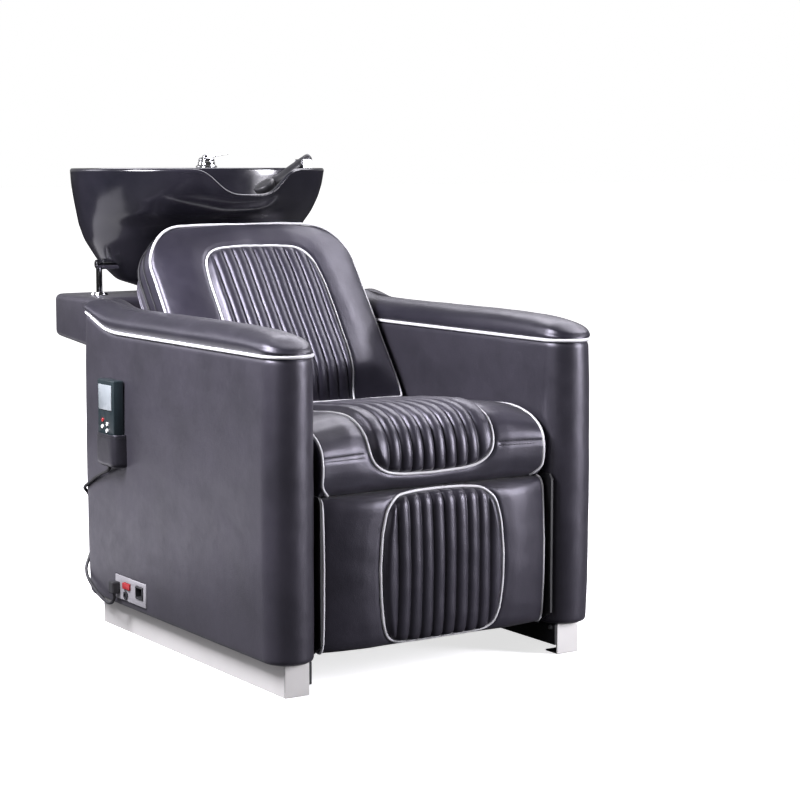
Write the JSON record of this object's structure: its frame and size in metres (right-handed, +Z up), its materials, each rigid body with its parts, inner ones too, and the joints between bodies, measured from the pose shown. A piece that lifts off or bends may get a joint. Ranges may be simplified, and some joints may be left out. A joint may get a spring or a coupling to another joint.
{
  "type": "shampoo backwash unit",
  "caption": "Upholstered power reclining wash chair with a rising legrest, a tilting ceramic bowl on two posts behind it, a lever tap, a hand shower and a wired remote.",
  "frame": {"origin": "on the floor, at the middle of the unit's bounding box", "axes": "+Z up; -Y is the front, which the sitter faces; +X is to the right as seen from the front"},
  "size_m": [0.776, 1.246, 1.0042],
  "materials": {
    "black_leather": "satin",
    "black_steel": "satin",
    "stainless": "satin",
    "zinc_steel": "satin",
    "chrome": "polished",
    "black_ceramic": "gloss",
    "black_plastic": "matte",
    "grey_plastic": "matte",
    "red_plastic": "gloss",
    "white_trim": "satin",
    "display": "gloss",
    "rubber": "matte"
  },
  "bodies": {
    "root": {"left_arm_panel": "black_leather", "right_arm_panel": "black_leather", "left_arm_pad": "black_leather", "right_arm_pad": "black_leather", "rear_shelf": "black_leather", "remote_pocket": "black_leather", "left_side_plate": "black_steel", "right_side_plate": "black_steel", "left_foot_tab": "black_steel", "right_foot_tab": "black_steel", "left_base_plate": "black_steel", "right_base_plate": "black_steel", "middle_cross_bar": "black_steel", "rear_cross_bar": "black_steel", "base_pan": "black_steel", "left_plinth": "stainless", "right_plinth": "stainless", "left_plate_bolt": "zinc_steel", "right_plate_bolt": "zinc_steel", "left_seat_rail": "zinc_steel", "right_seat_rail": "zinc_steel", "actuator_tube": "zinc_steel", "left_bowl_post": "chrome", "right_bowl_post": "chrome", "actuator_motor": "black_plastic", "control_box": "black_plastic", "mains_inlet": "black_plastic", "lead_socket": "black_plastic", "remote_body": "black_plastic", "power_panel": "grey_plastic", "remote_screen": "display", "lead_plug": "rubber", "remote_lead": "rubber"},
    "seat": {"seat_frame": "black_steel", "seat_cushion": "black_leather", "actuator_rod": "stainless", "left_seat_runner": "zinc_steel", "right_seat_runner": "zinc_steel"},
    "back": {"back_frame": "black_steel", "back_cushion": "black_leather", "back_shell": "black_leather"},
    "rear_link": {"rear_leg_link": "black_steel"},
    "front_link": {"front_leg_link": "black_steel"},
    "legrest": {"legrest_board": "black_steel", "legrest_cushion": "black_leather"},
    "bowl": {"wash_basin": "black_ceramic", "left_bowl_boss": "chrome", "right_bowl_boss": "chrome", "drain_flange": "chrome", "mixer_body": "chrome", "shower_dock": "chrome"},
    "strainer": {"strainer": "chrome"},
    "hand_shower": {"hand_shower": "black_plastic"},
    "mixer_turret": {"mixer_turret": "chrome"},
    "mixer_lever": {"mixer_lever": "chrome"},
    "power_rocker": {"power_rocker": "red_plastic"},
    "button_1": {"remote_button_1": "red_plastic"},
    "button_2": {"remote_button_2": "white_trim"},
    "button_3": {"remote_button_3": "white_trim"},
    "button_4": {"remote_button_4": "white_trim"}
  },
  "joints": [
    {"name": "seat_slide", "type": "slide", "parent": "root", "child": "seat", "axis": [0, -0.9906, 0.137], "range_m": [0, 0.1313]},
    {"name": "back_recline", "type": "hinge", "parent": "seat", "child": "back", "pos_m": [0.018, -0.111, 0.355], "axis": [-1, 0, 0], "range_deg": [0, 17.2]},
    {"name": "rear_link_swing", "type": "hinge", "parent": "seat", "child": "rear_link", "pos_m": [0.018, -0.459, 0.315], "axis": [-1, 0, 0], "range_deg": [0, 95.5]},
    {"name": "front_link_swing", "type": "hinge", "parent": "rear_link", "child": "front_link", "pos_m": [0.018, -0.499, 0.14], "axis": [-1, 0, 0], "range_deg": [-165.5, 0]},
    {"name": "legrest_swing", "type": "hinge", "parent": "front_link", "child": "legrest", "pos_m": [0.018, -0.534, 0.33], "axis": [-1, 0, 0], "range_deg": [0, 160.5]},
    {"name": "bowl_tilt", "type": "hinge", "parent": "root", "child": "bowl", "pos_m": [0.018, 0.381, 0.758], "axis": [1, 0, 0], "range_deg": [-4, 4]},
    {"name": "strainer_lift", "type": "slide", "parent": "bowl", "child": "strainer", "axis": [0, 0, 1], "range_m": [0, 0.03]},
    {"name": "shower_lift", "type": "slide", "parent": "bowl", "child": "hand_shower", "axis": [0, 0, 1], "range_m": [0, 0.12]},
    {"name": "mixer_swivel", "type": "hinge", "parent": "bowl", "child": "mixer_turret", "pos_m": [0.153, 0.585, 0.984], "axis": [0, 0, 1], "range_deg": [-50, 50]},
    {"name": "mixer_lift", "type": "hinge", "parent": "mixer_turret", "child": "mixer_lever", "pos_m": [0.153, 0.585, 0.995], "axis": [0, -1, 0], "range_deg": [0, 18]},
    {"name": "power_rocker_press", "type": "hinge", "parent": "root", "child": "power_rocker", "pos_m": [-0.3555, -0.007, 0.112], "axis": [0, 0, 1], "range_deg": [0, 7]},
    {"name": "button_1_press", "type": "slide", "parent": "root", "child": "button_1", "axis": [1, 0, 0], "range_m": [0, 0.001], "stiffness_N_per_m": 600, "springref_m": -0.0005},
    {"name": "button_2_press", "type": "slide", "parent": "root", "child": "button_2", "axis": [1, 0, 0], "range_m": [0, 0.001], "stiffness_N_per_m": 600, "springref_m": -0.0005},
    {"name": "button_3_press", "type": "slide", "parent": "root", "child": "button_3", "axis": [1, 0, 0], "range_m": [0, 0.001], "stiffness_N_per_m": 600, "springref_m": -0.0005},
    {"name": "button_4_press", "type": "slide", "parent": "root", "child": "button_4", "axis": [1, 0, 0], "range_m": [0, 0.001], "stiffness_N_per_m": 600, "springref_m": -0.0005}
  ],
  "couplings": [
    {"joint": "back_recline", "follows": "seat_slide", "rad_per_m": 2.2598},
    {"joint": "rear_link_swing", "follows": "seat_slide", "rad_per_m": 12.628},
    {"joint": "front_link_swing", "follows": "seat_slide", "rad_per_m": -21.933},
    {"joint": "legrest_swing", "follows": "seat_slide", "rad_per_m": 21.268}
  ]
}
